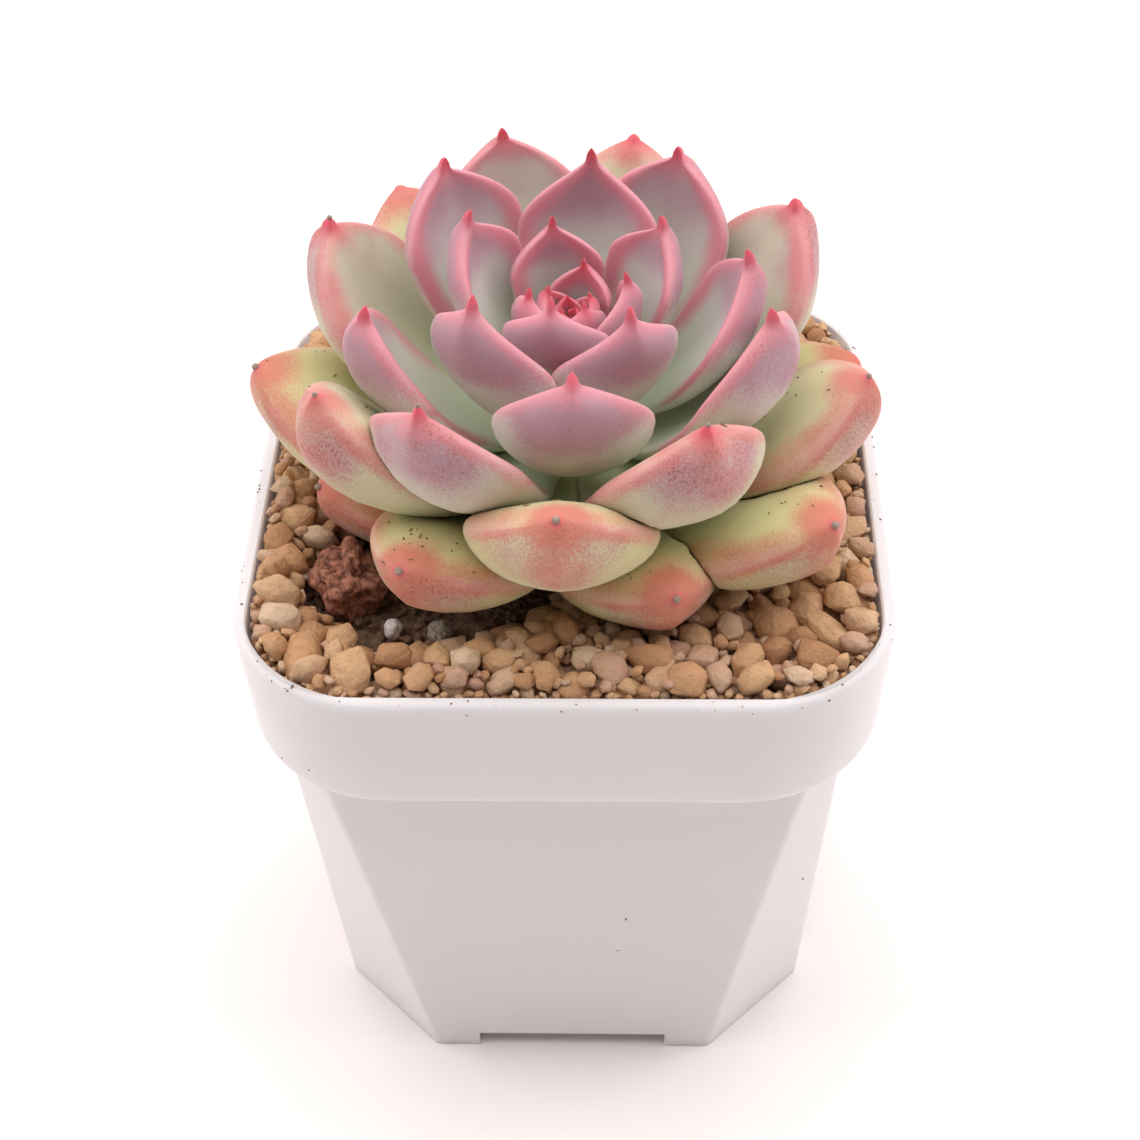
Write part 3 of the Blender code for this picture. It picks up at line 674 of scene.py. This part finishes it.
# %% Put the skins on
YOUNG_KNOB = 0.3 * MM
OLD_KNOB = 0.45 * MM
leaf_skin = make_leaf_skin()
dry_tip = make_dry_tip()
for leaf in leaves:
    bm = leaf.bm
    tints = [tint(trait, leaf.n) for trait in leaf.traits]
    layers = {name: bm.verts.layers.float.new(name) for name in tints[0]}
    for vert, point, values in zip(bm.verts, leaf.points, tints):
        vert.co = point
        for name, value in values.items():
            vert[layers[name]] = value
    if leaf.n in DRY_TIPS:
        tip = max(range(len(leaf.points)), key=lambda i: leaf.traits[i]["along"])
        at = Matrix.Translation(leaf.points[tip]) @ Matrix.Diagonal((1, 1, 0.85, 1))
        knob = OLD_KNOB if leaf.n > 32 else YOUNG_KNOB
        made = bmesh.ops.create_uvsphere(bm, u_segments=12, v_segments=8, radius=knob, matrix=at)
        for face in {f for v in made["verts"] for f in v.link_faces}:
            face.material_index = 1
    name = f"leaf_{leaf.n + 1:02d}"
    finish_piece("skin_of_" + name, bm, "leaf", name, materials=[leaf_skin, dry_tip],
                 smooth=math.radians(80))
    low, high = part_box(name)
    own = bounds_of(leaf.points)
    leaf.off = max(max(abs(own[0][i] - low[i]), abs(own[1][i] - high[i])) for i in range(3))
worst = max(leaves, key=lambda leaf: leaf.off)
print("leaves differ from the CAD by up to", round(worst.off / MM, 1), "mm, at leaf", worst.n + 1)
leaf_trees = [BVHTree.FromPolygons(leaf.points, leaf.faces) for leaf in leaves]

# %% [markdown]
# ## The growing mix and what lies on it
#
# Peat with grit fills the pot to 5 mm below the rim. Only a bare patch in front shows it. The top is a grid
# drawn to the mouth's rounded square, roughened into crumbs, and its sides are extruded down inside the pot.

# %% Growing mix
SOIL_GAP = 0.3 * MM
SOIL_GRID = 110
SOIL_FOOT_CORNER = 21 * MM
LUMP_WIDTH = 1.6 * MM
LUMP_HEIGHT = 0.7 * MM


def square_reach(angle, half, radius):
    """How far a ray from the middle goes to the edge of a square with round corners."""
    c, s = abs(math.cos(angle)), abs(math.sin(angle))
    straight = half / max(c, s)
    middle = half - radius
    if straight * min(c, s) <= middle:
        return straight
    towards = (c + s) * middle
    return towards + math.sqrt(towards ** 2 - (2 * middle ** 2 - radius ** 2))


def make_soil_material():
    """Damp peat with fibres: nearly black, dull, with brown crumbs."""
    soil, shader = start_material("damp_peat_mix")
    at = add_node(soil, "ShaderNodeTexCoord").outputs["Object"]
    crumbs = add_node(soil, "ShaderNodeTexNoise", {"Vector": at, "Scale": 1 / (0.9 * MM), "Detail": 5.0,
                                                  "Roughness": 0.7})
    ramp = add_node(soil, "ShaderNodeValToRGB", {"Fac": crumbs.outputs["Fac"]})
    ramp.color_ramp.elements[0].position = 0.35
    ramp.color_ramp.elements[0].color = linear("#5A463B")
    ramp.color_ramp.elements[1].position = 0.72
    ramp.color_ramp.elements[1].color = linear("#A98468")
    bump = add_node(soil, "ShaderNodeBump", {"Height": crumbs.outputs["Fac"], "Strength": 0.8,
                                            "Distance": 0.3 * MM})
    set_inputs(shader, {"Base Color": ramp.outputs["Color"], "Normal": bump.outputs["Normal"],
                        "Roughness": 0.9})
    return soil


mouth_half = RIM_HALF - RIM_WALL - COLLAR_TAPER - SOIL_GAP
bm = bmesh.new()
bmesh.ops.create_grid(bm, x_segments=SOIL_GRID, y_segments=SOIL_GRID, size=1)
for vert in bm.verts:
    reach = max(abs(vert.co.x), abs(vert.co.y))
    angle = math.atan2(vert.co.y, vert.co.x)
    out = square_reach(angle, mouth_half, MOUTH_CORNER) * reach
    spot = Vector((out * math.cos(angle), out * math.sin(angle), 0))
    lumps = noise.fractal(spot / LUMP_WIDTH, 1.0, 2.0, 4)
    spot.z = SOIL_TOP + lumps * LUMP_HEIGHT * step(1.0, 0.96, reach) if reach > 0 else SOIL_TOP
    vert.co = spot
rim = [edge for edge in bm.edges if edge.is_boundary]
# Down the mouth, in over the ledge, down the body to just above the ribs.
for half, corner, z in (
    (mouth_half, MOUTH_CORNER, ledge + SOIL_GAP),
    (BODY_HALF - WALL - SOIL_GAP, MOUTH_CORNER, ledge + SOIL_GAP),
    (FOOT_HALF - WALL - SOIL_GAP, SOIL_FOOT_CORNER, rib_top + SOIL_GAP),
):
    made = bmesh.ops.extrude_edge_only(bm, edges=rim)["geom"]
    rim = [g for g in made if isinstance(g, bmesh.types.BMEdge)]
    for vert in {v for edge in rim for v in edge.verts}:
        angle = math.atan2(vert.co.y, vert.co.x)
        out = square_reach(angle, half, corner)
        vert.co = (out * math.cos(angle), out * math.sin(angle), z)
bmesh.ops.contextual_create(bm, geom=rim)
bmesh.ops.recalc_face_normals(bm, faces=bm.faces)
soil_material = make_soil_material()
finish_piece("growing_mix", bm, "soil", "soil", materials=[soil_material])
print("growing mix done")

# %% [markdown]
# ## Stones
#
# Top dressing is baked clay, crushed and sieved: blocky granules of 1 to 5 mm with worn corners. A handful of
# shapes is made as the hull of a few jittered points with its edges bevelled. They are dropped largest first
# wherever there is room, and each gets its own tone of tan. Chips then fill the gap along the wall.

# %% Granule shapes
random.seed(11)
GRANULE_SHAPES = 22
JITTER = (0.7, 1.25)
FACET_ANGLE = math.radians(14)  # flatter edges than this wear away
WEAR = 0.035


def granule(flatness):
    """One worn, blocky stone about 1 across, as a mesh."""
    bm = bmesh.new()
    bmesh.ops.create_icosphere(bm, subdivisions=1, radius=0.5)
    for vert in bm.verts:
        vert.co *= random.uniform(*JITTER)
        vert.co.z *= flatness
    hull = bmesh.ops.convex_hull(bm, input=bm.verts)
    bmesh.ops.delete(bm, geom=[g for g in hull["geom_interior"] + hull["geom_unused"]
                               if isinstance(g, bmesh.types.BMVert)], context="VERTS")
    bmesh.ops.dissolve_limit(bm, angle_limit=FACET_ANGLE, verts=bm.verts, edges=bm.edges)
    bmesh.ops.bevel(bm, geom=list(bm.edges), offset=WEAR, segments=1, affect="EDGES", profile=0.5,
                    material=-1, clamp_overlap=True)
    bmesh.ops.recalc_face_normals(bm, faces=bm.faces)
    mesh = bpy.data.meshes.new("granule")
    bm.to_mesh(mesh)
    bm.free()
    return mesh


def scatter(name, stones, shapes, slot, *nodes, materials):
    """One piece of many stones: (place, size as a vector, turn, tone)."""
    bm = bmesh.new()
    for place, size, turn, tone in stones:
        mesh = random.choice(shapes).copy()
        mesh.transform(Matrix.Translation(place) @ turn.to_matrix().to_4x4() @ Matrix.Diagonal((*size, 1)))
        values = mesh.attributes.new("tone", "FLOAT", "POINT")
        values.data.foreach_set("value", [tone] * len(mesh.vertices))
        bm.from_mesh(mesh)
        bpy.data.meshes.remove(mesh)
    return finish_piece(name, bm, slot, *nodes, materials=materials, smooth=math.radians(50))


def random_turn(tilt):
    """Any turn about the vertical, with a tilt off it."""
    away = Vector((1, 0, 0))
    away.rotate(Matrix.Rotation(random.uniform(0, 2 * math.pi), 3, "Z"))
    spun = Matrix.Rotation(random.uniform(0, 2 * math.pi), 3, "Z")
    return (Matrix.Rotation(math.radians(random.gauss(0, tilt)), 3, away) @ spun).to_quaternion()


shapes = [granule(random.uniform(0.55, 0.95)) for _ in range(GRANULE_SHAPES)]
print("granules of", sorted({len(mesh.polygons) for mesh in shapes}), "faces")

# %% Lay the granules
HOLLOW = 14 * MM  # no granules under the plant
HOLLOW_LOBE = 18.5 * MM
HOLLOW_TURN = math.radians(222)
HOLLOW_SPREAD = math.radians(65)
LAVA_PLACE = Vector((-23.2, -15, 0)) * MM
LAVA_REACH = 4.3 * MM
FIRST_LOW_LEAF = 24  # younger leaves stay clear of the gravel
DROPS = 70000
SPREAD, SMALLEST = 4.3, 1.3  # the first drops are up to the sum of both, in millimetres, the last the second
LARGEST = 5.3 * MM
CELL = 5.5 * MM  # at least the largest granule
PACKING = 0.72  # how near two granules' middles come, as a share of their mean size
BED = (65.4, 66.8)  # the lowest and the highest middle of a granule beside the bare patch, in millimetres
BED_RISE = 1.7  # how much higher the bed is away from the patch, after a slope of 4 mm
BED_SLOPE = 4 * MM
BANK = (24 * MM, 31 * MM)  # from here to here the bed climbs up the wall
BANK_RISE = (1.0, 1.4)
WALL_CHIPS = 6000
CHIP_SIZE = (0.9, 2.0)
CHIP_HEIGHT = (66.6, 68.7)


def hollow_reach(angle):
    """How far the bare patch in the gravel reaches from the middle, in this direction."""
    off = (angle - HOLLOW_TURN + math.pi) % (2 * math.pi) - math.pi
    if abs(off) >= HOLLOW_SPREAD:
        return HOLLOW
    return HOLLOW + HOLLOW_LOBE * math.cos(math.pi / 2 * off / HOLLOW_SPREAD) ** 2


cells = {}
stones = []


def cell_of(spot):
    return int(spot.x // CELL), int(spot.y // CELL)


def has_room(spot, size):
    """Whether a granule fits here among those already laid, the lava lump and the outer leaves."""
    if (spot - LAVA_PLACE).xy.length < LAVA_REACH + size / 2:
        return False
    column, row = cell_of(spot)
    for i in (-1, 0, 1):
        for j in (-1, 0, 1):
            for other, other_size in cells.get((column + i, row + j), ()):
                gap = spot - other
                gap.z *= 1.5
                if gap.length < PACKING * (size + other_size) / 2:
                    return False
    return all(tree.find_nearest(spot, size / 2)[0] is None for tree in leaf_trees[FIRST_LOW_LEAF:])


def lay(spot, size):
    cells.setdefault(cell_of(spot), []).append((spot, size))
    length = random.uniform(0.95, 1.3)
    stones.append((spot, Vector((length, random.uniform(0.8, 1.0), random.uniform(0.85, 1.1))) * size,
                   random_turn(22), random.random()))


for attempt in range(DROPS):
    share = attempt / DROPS
    size = (SPREAD * (1 - share) ** 1.1 + SMALLEST) * random.uniform(0.75, 1.0) * MM
    if size > LARGEST:
        continue
    spot = Vector((random.uniform(-mouth_half, mouth_half), random.uniform(-mouth_half, mouth_half), 0))
    angle = math.atan2(spot.y, spot.x)
    out = spot.length
    lip = square_reach(angle, mouth_half + 0.6 * MM, MOUTH_CORNER) - 0.42 * size
    hollow = hollow_reach(angle) + 0.8 * MM * noise.noise(spot / (3 * MM))
    if out > lip or out < hollow:
        continue
    full = step(0, BED_SLOPE, out - hollow)
    banked = step(*BANK, max(abs(spot.x), abs(spot.y)))
    low = BED[0] + BANK_RISE[0] * banked
    high = BED[1] + BED_RISE * full + BANK_RISE[1] * banked
    spot.z = random.uniform(low, high) * MM
    if has_room(spot, size):
        lay(spot, size)
laid = len(stones)
for _ in range(WALL_CHIPS):
    size = random.uniform(*CHIP_SIZE) * MM
    angle = random.uniform(0, 2 * math.pi)
    out = square_reach(angle, mouth_half + 0.8 * MM, MOUTH_CORNER) - 0.58 * size
    spot = Vector((out * math.cos(angle), out * math.sin(angle), random.uniform(*CHIP_HEIGHT) * MM))
    if has_room(spot, size):
        lay(spot, size)
print("granules:", laid, "chips:", len(stones) - laid)


def make_clay_grit():
    """Crushed baked clay: dull and dusty tan, every granule its own tone, finely pitted."""
    grit, shader = start_material("crushed_baked_clay_granules")
    at = add_node(grit, "ShaderNodeTexCoord").outputs["Object"]
    tone = add_node(grit, "ShaderNodeAttribute", attribute_name="tone").outputs["Fac"]
    ramp = add_node(grit, "ShaderNodeValToRGB", {"Fac": tone})
    ends = ramp.color_ramp.elements
    ends[0].color, ends[1].color = linear("#B98B66"), linear("#EBD2B2")
    for position, colour in ((0.22, "#D1A37A"), (0.45, "#DFB78C"), (0.66, "#D8B596"), (0.84, "#C9A088")):
        ramp.color_ramp.elements.new(position).color = linear(colour)
    # Stains 1.5 mm across, and pits of a quarter of a millimetre.
    stain = add_node(grit, "ShaderNodeTexNoise", {"Vector": at, "Scale": 1 / (1.5 * MM), "Detail": 4.0,
                                                 "Roughness": 0.65})
    amount = add_node(grit, "ShaderNodeMapRange", {"Value": stain.outputs["Fac"], "From Min": 0.45,
                                                  "From Max": 0.8, "To Max": 0.6})
    mix = add_node(grit, "ShaderNodeMix", {"Factor": amount.outputs["Result"], 6: ramp.outputs["Color"],
                                          7: linear("#B08560")}, data_type="RGBA")
    pits = add_node(grit, "ShaderNodeTexNoise", {"Vector": at, "Scale": 1 / (0.7 * MM), "Detail": 5.0,
                                                "Roughness": 0.65})
    bump = add_node(grit, "ShaderNodeBump", {"Height": pits.outputs["Fac"], "Strength": 1.0,
                                            "Distance": 0.45 * MM})
    set_inputs(shader, {"Base Color": mix.outputs[2], "Normal": bump.outputs["Normal"],
                        "Specular IOR Level": 0.25, "Roughness": 0.95})
    return grit


clay_grit = make_clay_grit()
scatter("clay_granules", stones[:laid], shapes, "gravel", "gravel_bed", materials=[clay_grit])
scatter("clay_chips", stones[laid:], shapes, "gravel", materials=[clay_grit])

# %% Crumbs of peat and bark on the bare patch
CRUMBS = 700
crumbs = []
for _ in range(CRUMBS):
    angle = HOLLOW_TURN + random.uniform(-1.2, 1.2)
    out = random.uniform(4 * MM, hollow_reach(angle) + 1.5 * MM)
    spot = Vector((out * math.cos(angle), out * math.sin(angle), 0))
    spot.z = SOIL_TOP + random.uniform(0.1, 0.7) * MM
    size = random.uniform(0.4, 1.3) * MM
    long = random.choice((1.0, 1.3, 2.2))
    crumbs.append((spot, Vector((long, 1, 0.8)) * size, random_turn(30), random.random()))
scatter("peat_crumbs", crumbs, shapes, "soil", materials=[soil_material])
print("crumbs:", len(crumbs))

# %% [markdown]
# ## The lava lump, the perlite and the pumice
#
# Three odd grains came up from the mix. Each is an icosphere swollen by noise. Lava gets deep pores, which
# are pressed in where a cell pattern dips, and so has real holes in its outline.

# %% Odd grains


def make_grain_material(name, dark, pale, patch, depth, roughness):
    """Volcanic stone: dull, its colour broken up by its pores."""
    stone, shader = start_material(name)
    at = add_node(stone, "ShaderNodeTexCoord").outputs["Object"]
    mottle = add_node(stone, "ShaderNodeTexNoise", {"Vector": at, "Scale": 1 / patch, "Detail": 4.0,
                                                   "Roughness": 0.7})
    ramp = add_node(stone, "ShaderNodeValToRGB", {"Fac": mottle.outputs["Fac"]})
    ramp.color_ramp.elements[0].position = 0.38
    ramp.color_ramp.elements[0].color = linear(dark)
    ramp.color_ramp.elements[1].position = 0.62
    ramp.color_ramp.elements[1].color = linear(pale)
    bump = add_node(stone, "ShaderNodeBump", {"Height": mottle.outputs["Fac"], "Strength": 0.8,
                                             "Distance": depth})
    set_inputs(shader, {"Base Color": ramp.outputs["Color"], "Normal": bump.outputs["Normal"],
                        "Roughness": roughness})
    return stone


def make_grain(name, node, slot, material, swell, pore, pore_depth):
    """Fills the CAD node's box with a noisy lump."""
    low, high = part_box(node)
    middle = (low + high) / 2
    half = (high - low) / 2
    bm = bmesh.new()
    bmesh.ops.create_icosphere(bm, subdivisions=5, radius=1)
    for vert in bm.verts:
        grow = 1 + swell * noise.noise(vert.co * 1.3 + middle / MM)
        spot = Vector([vert.co[i] * half[i] for i in range(3)])
        dip = noise.voronoi(spot / pore + middle / MM)[0][0]
        grow -= pore_depth * (1 - step(0.15, 0.55, dip))
        vert.co = middle + spot * grow
    finish_piece(name, bm, slot, node, materials=[material], smooth=math.radians(60))


make_grain("lava_lump_piece", "lava_lump", "lava",
           make_grain_material("red_lava", "#63382D", "#BE8268", 0.8 * MM, 0.3 * MM, 0.9),
           0.7, 1.3 * MM, 0.2)
make_grain("perlite_piece", "perlite_grain", "perlite",
           make_grain_material("expanded_perlite", "#D8D0C8", "#F2EEEA", 0.4 * MM, 0.1 * MM, 0.8),
           0.25, 0.7 * MM, 0.08)
make_grain("pumice_piece", "pumice_grain", "perlite",
           make_grain_material("grey_pumice", "#8F8478", "#D6CDBF", 0.35 * MM, 0.12 * MM, 0.85),
           0.2, 0.6 * MM, 0.08)
print("three odd grains")

# %% [markdown]
# ## The stem and the small litter
#
# The stem is a short green-brown column, nearly hidden. Bits of peat cling to the oldest leaves and the rim,
# as they do after potting, and a dry root fibre sticks out in front.

# %% Stem


def make_stem_material():
    """Young bark: green showing through brown, dull."""
    bark, shader = start_material("young_green_bark")
    at = add_node(bark, "ShaderNodeTexCoord").outputs["Object"]
    mottle = add_node(bark, "ShaderNodeTexNoise", {"Vector": at, "Scale": 1 / (1.2 * MM), "Detail": 4.0})
    mix = add_node(bark, "ShaderNodeMix", {"Factor": mottle.outputs["Fac"], 6: linear("#C3CC86"),
                                          7: linear("#A08E58")}, data_type="RGBA")
    set_inputs(shader, {"Base Color": mix.outputs[2], "Roughness": 0.7})
    return bark


STEM_FOOT = 4.2 * MM
STEM_TOP = 1.2 * MM
STEM_BUMPS = 0.08
low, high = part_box("stem")
bm = bmesh.new()
bmesh.ops.create_cone(bm, cap_ends=True, segments=40, radius1=STEM_FOOT, radius2=STEM_TOP,
                      depth=high.z - low.z, matrix=Matrix.Translation((low + high) / 2))
bmesh.ops.subdivide_edges(bm, edges=[e for e in bm.edges if abs(e.verts[0].co.z - e.verts[1].co.z) > MM],
                          cuts=14, use_grid_fill=True)
for vert in bm.verts:
    away = (vert.co - CENTRE) * Vector((1, 1, 0))
    vert.co += away * STEM_BUMPS * noise.noise(vert.co / (2 * MM))
finish_piece("stem_piece", bm, "stem", "stem", materials=[make_stem_material()])
print("stem done")

# %% Litter on leaves and rim
ON_LEAVES = ((38, 26), (36, 22), (33, 5), (31, 7), (28, 6), (41, 14), (30, 9), (25, 4), (43, 8), (35, 8))
ON_POT = 90
AT_RIM = 0.85  # this share of the flecks on the pot lies at its rim
flecks = []
for n, count in ON_LEAVES:
    for _ in range(count):
        root = leaves[n].spine(random.uniform(0.45, 0.97))
        above = root + Vector((random.gauss(0, 4), random.gauss(0, 3), 30)) * MM
        hit, normal, _, _ = leaf_trees[n].ray_cast(above, Vector((0, 0, -1)))
        if hit is None:
            continue
        flecks.append((hit + normal * 0.05 * MM, Vector((random.choice((1, 1, 2.6)), 0.8, 0.5))
                       * random.uniform(0.18, 0.42) * MM, random_turn(10), random.random()))
pot_tree = BVHTree.FromObject(pot, bpy.context.evaluated_depsgraph_get())
for _ in range(ON_POT):
    angle = random.uniform(0, 2 * math.pi)
    if random.random() < AT_RIM:
        height = POT_HEIGHT - abs(random.gauss(0, 0.35)) * MM
    else:
        height = random.uniform(20 * MM, POT_HEIGHT)
    away = Vector((math.cos(angle), math.sin(angle), 0))
    hit = pot_tree.ray_cast(away * 60 * MM + Vector((0, 0, height)), -away)[0]
    if hit is not None:
        flecks.append((hit, Vector((1, 1, 1)) * random.uniform(0.12, 0.34) * MM, random_turn(40),
                       random.random()))
scatter("peat_flecks", flecks, shapes, "soil", materials=[soil_material])
print("flecks:", len(flecks))

# %% Root fibre


def make_fibre_material():
    """A dry root: straw-coloured and streaked."""
    straw, shader = start_material("dry_root_fibre")
    at = add_node(straw, "ShaderNodeTexCoord").outputs["Object"]
    streaks = add_node(straw, "ShaderNodeTexNoise", {"Vector": at, "Scale": 1 / (0.6 * MM)})
    mix = add_node(straw, "ShaderNodeMix", {"Factor": streaks.outputs["Fac"], 6: linear("#B98E62"),
                                           7: linear("#E6CBA2")}, data_type="RGBA")
    set_inputs(shader, {"Base Color": mix.outputs[2], "Roughness": 0.6})
    return straw


FIBRE_RADIUS = 0.09 * MM
FIBRE_START = Vector((1.5, -21.5, 67.8)) * MM
FIBRE_STEPS = 24
bm = bmesh.new()
ring = bmesh.ops.create_circle(bm, cap_ends=True, segments=6, radius=FIBRE_RADIUS,
                               matrix=Matrix.Translation(FIBRE_START)
                               @ Matrix.Rotation(math.pi / 2, 4, "Y"))["verts"]
tip_face = ring[0].link_faces[0]
for k in range(FIBRE_STEPS):
    made = bmesh.ops.extrude_discrete_faces(bm, faces=[tip_face])
    tip_face = made["faces"][0]
    way = Vector((0.42, 0.22 * math.sin(k * 0.35), 0.16 * math.cos(k * 0.2))) * MM
    bmesh.ops.translate(bm, vec=way, verts=tip_face.verts)
bmesh.ops.recalc_face_normals(bm, faces=bm.faces)
finish_piece("root_fibre", bm, "soil", materials=[make_fibre_material()])
print("root fibre done")

# %% [markdown]
# ## Studio
#
# The pot stands on a pale sweep in a white tent. Light comes from above and behind and from both sides, so
# the front wall falls into a soft shade while the chamfers, the rim and the leaf margins stay bright.

# %% Floor, lights and world


def make_floor_material():
    """Matt white board."""
    board, shader = start_material("matt_white_board")
    set_inputs(shader, {"Base Color": linear("#FBF5F3"), "Roughness": 0.95, "Specular IOR Level": 0.1})
    return board


FLOOR_HALF = 4.0
AIM = Vector((0, 0, 0.06))
bm = bmesh.new()
bmesh.ops.create_grid(bm, x_segments=1, y_segments=1, size=FLOOR_HALF)
mesh = bpy.data.meshes.new("floor")
bm.to_mesh(mesh)
bm.free()
mesh.materials.append(make_floor_material())
floor = new_object("floor", mesh)

for name, place, side, power, colour in (
    ("top_back_softbox", (0.0, 0.22, 1.05), 1.6, 18.5, "#FFFBFA"),
    ("left_softbox", (-0.95, 0.10, 0.55), 0.8, 4.3, "#FFF9F8"),
    ("right_softbox", (0.95, 0.15, 0.55), 0.8, 4.9, "#FFF9F9"),
):
    data = bpy.data.lights.new(name, "AREA")
    data.shape = "SQUARE"
    data.size = side
    data.energy = power
    data.color = linear(colour)[:3]
    light = new_object(name, data)
    light.location = place
    light.rotation_euler = (AIM - Vector(place)).to_track_quat("-Z", "Y").to_euler()

world = bpy.data.worlds.new("white_tent")
world.use_nodes = True
set_inputs(world.node_tree.nodes["Background"], {"Color": linear("#FFFBFC"), "Strength": 0.2})
bpy.context.scene.world = world
bpy.context.scene.view_settings.view_transform = "Standard"
print("studio done")
